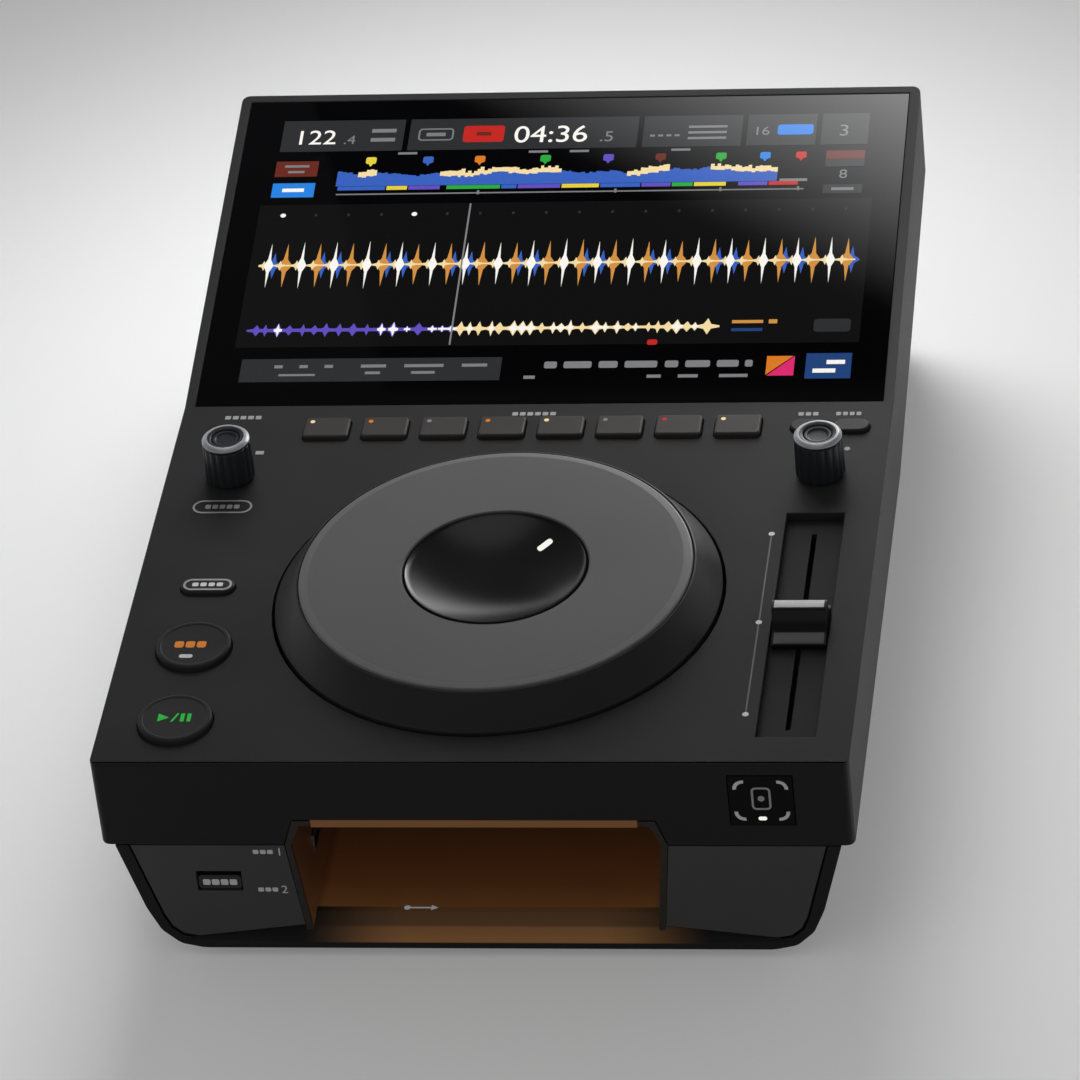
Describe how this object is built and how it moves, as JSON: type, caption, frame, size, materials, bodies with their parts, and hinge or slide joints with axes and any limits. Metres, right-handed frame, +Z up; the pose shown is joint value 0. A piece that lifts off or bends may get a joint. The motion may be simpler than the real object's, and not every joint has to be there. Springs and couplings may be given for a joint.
{
  "type": "player deck with jog wheel",
  "caption": "Tabletop music player deck: tilted screen, turning jog wheel, sliding tempo fader, pressing keys, turning knobs and a lit front bay for memory sticks.",
  "frame": {"origin": "on the floor under the middle of the body", "axes": "+X to the user's right, +Y to the back where the screen is, +Z up"},
  "size_m": [0.25, 0.3606, 0.11],
  "materials": {
    "deck_paint": "fine matte charcoal",
    "tray_plastic": "matte black moulding",
    "cheek_plastic": "satin dark grey",
    "bay_plastic": "satin, amber lit",
    "light_bar": "lit amber diffuser",
    "plated_steel": "plated",
    "key_grey": "satin grey",
    "circuit_board": "solder mask",
    "gloss_black": "polished black",
    "soft_black": "matte black",
    "button_black": "soft satin black",
    "wheel_paint": "satin charcoal",
    "plate_metal": "satin anodised grey",
    "bright_ring": "polished",
    "knob_plastic": "satin blue-black",
    "screen_glass": "black glass",
    "inner_module": "dark grey",
    "rubber_foot": "matte rubber"
  },
  "bodies": {
    "body": {"upper_shell": "deck_paint", "lower_tray": "tray_plastic", "cheek_left": "cheek_plastic", "cheek_right": "cheek_plastic", "stick_bay": "bay_plastic", "bay_light": "light_bar", "stick_socket_1": "plated_steel", "stick_socket_2": "plated_steel", "front_board": "circuit_board", "tap_window": "gloss_black", "jog_base": "soft_black", "jog_bearing": "plated_steel", "jog_dish": "gloss_black", "jog_display": "soft_black", "jog_sensor": "soft_black", "encoder_left": "plated_steel", "encoder_right": "plated_steel", "fader_track": "soft_black", "fader_body": "plated_steel", "screen_glass": "screen_glass", "screen_module": "inner_module", "key_board": "circuit_board", "main_board": "circuit_board", "power_supply": "inner_module", "rear_panel": "tray_plastic", "power_inlet": "soft_black", "power_switch_case": "soft_black", "network_jack": "plated_steel", "link_jack": "plated_steel", "audio_jacks": "soft_black", "foot_1": "rubber_foot", "foot_2": "rubber_foot", "foot_3": "rubber_foot", "foot_4": "rubber_foot", "screw_1": "plated_steel", "screw_2": "plated_steel", "screw_3": "plated_steel", "screw_4": "plated_steel"},
    "jog": {"jog_wheel": "wheel_paint", "jog_plate": "plate_metal"},
    "tempo": {"fader_cap": "knob_plastic"},
    "knob_l": {"knob_left": "knob_plastic", "knob_left_ring": "bright_ring"},
    "knob_r": {"knob_right": "knob_plastic", "knob_right_ring": "bright_ring"},
    "play": {"play_button": "button_black"},
    "cue": {"cue_button": "button_black"},
    "shift": {"shift_key": "button_black"},
    "menu": {"menu_key": "button_black"},
    "tag": {"tag_key": "button_black"},
    "stop": {"stop_key": "key_grey"},
    "rocker": {"power_rocker": "soft_black"},
    "pad_1": {"pad_key_1": "button_black"},
    "pad_2": {"pad_key_2": "button_black"},
    "pad_3": {"pad_key_3": "button_black"},
    "pad_4": {"pad_key_4": "button_black"},
    "pad_5": {"pad_key_5": "button_black"},
    "pad_6": {"pad_key_6": "button_black"},
    "pad_7": {"pad_key_7": "button_black"},
    "pad_8": {"pad_key_8": "button_black"}
  },
  "joints": [
    {"name": "jog_turn", "type": "hinge", "parent": "body", "child": "jog", "pos_m": [0, -0.08928, 0.082], "axis": [0, 0, 1], "continuous": true},
    {"name": "tempo_slide", "type": "slide", "parent": "body", "child": "tempo", "axis": [0, 1, 0], "range_m": [-0.05, 0.05]},
    {"name": "knob_left_turn", "type": "hinge", "parent": "body", "child": "knob_l", "pos_m": [-0.102, -0.02028, 0.082], "axis": [0, 0, 1], "continuous": true},
    {"name": "knob_right_turn", "type": "hinge", "parent": "body", "child": "knob_r", "pos_m": [0.103, -0.02028, 0.082], "axis": [0, 0, 1], "continuous": true},
    {"name": "play_press", "type": "slide", "parent": "body", "child": "play", "axis": [0, 0, -1], "range_m": [0, 0.001], "stiffness_N_per_m": 500},
    {"name": "cue_press", "type": "slide", "parent": "body", "child": "cue", "axis": [0, 0, -1], "range_m": [0, 0.001], "stiffness_N_per_m": 500},
    {"name": "shift_press", "type": "slide", "parent": "body", "child": "shift", "axis": [0, 0, -1], "range_m": [0, 0.001], "stiffness_N_per_m": 500},
    {"name": "menu_press", "type": "slide", "parent": "body", "child": "menu", "axis": [0, 0, -1], "range_m": [0, 0.001], "stiffness_N_per_m": 500},
    {"name": "tag_press", "type": "slide", "parent": "body", "child": "tag", "axis": [0, 0, -1], "range_m": [0, 0.001], "stiffness_N_per_m": 500},
    {"name": "stop_press", "type": "slide", "parent": "body", "child": "stop", "axis": [0, 1, 0], "range_m": [0, 0.001], "stiffness_N_per_m": 500},
    {"name": "power_rock", "type": "hinge", "parent": "body", "child": "rocker", "pos_m": [0.04392, 0.17148, 0.0265], "axis": [1, 0, 0], "range_deg": [-18, 0]},
    {"name": "pad_1_press", "type": "slide", "parent": "body", "child": "pad_1", "axis": [0, 0, -1], "range_m": [0, 0.001], "stiffness_N_per_m": 500},
    {"name": "pad_2_press", "type": "slide", "parent": "body", "child": "pad_2", "axis": [0, 0, -1], "range_m": [0, 0.001], "stiffness_N_per_m": 500},
    {"name": "pad_3_press", "type": "slide", "parent": "body", "child": "pad_3", "axis": [0, 0, -1], "range_m": [0, 0.001], "stiffness_N_per_m": 500},
    {"name": "pad_4_press", "type": "slide", "parent": "body", "child": "pad_4", "axis": [0, 0, -1], "range_m": [0, 0.001], "stiffness_N_per_m": 500},
    {"name": "pad_5_press", "type": "slide", "parent": "body", "child": "pad_5", "axis": [0, 0, -1], "range_m": [0, 0.001], "stiffness_N_per_m": 500},
    {"name": "pad_6_press", "type": "slide", "parent": "body", "child": "pad_6", "axis": [0, 0, -1], "range_m": [0, 0.001], "stiffness_N_per_m": 500},
    {"name": "pad_7_press", "type": "slide", "parent": "body", "child": "pad_7", "axis": [0, 0, -1], "range_m": [0, 0.001], "stiffness_N_per_m": 500},
    {"name": "pad_8_press", "type": "slide", "parent": "body", "child": "pad_8", "axis": [0, 0, -1], "range_m": [0, 0.001], "stiffness_N_per_m": 500}
  ]
}
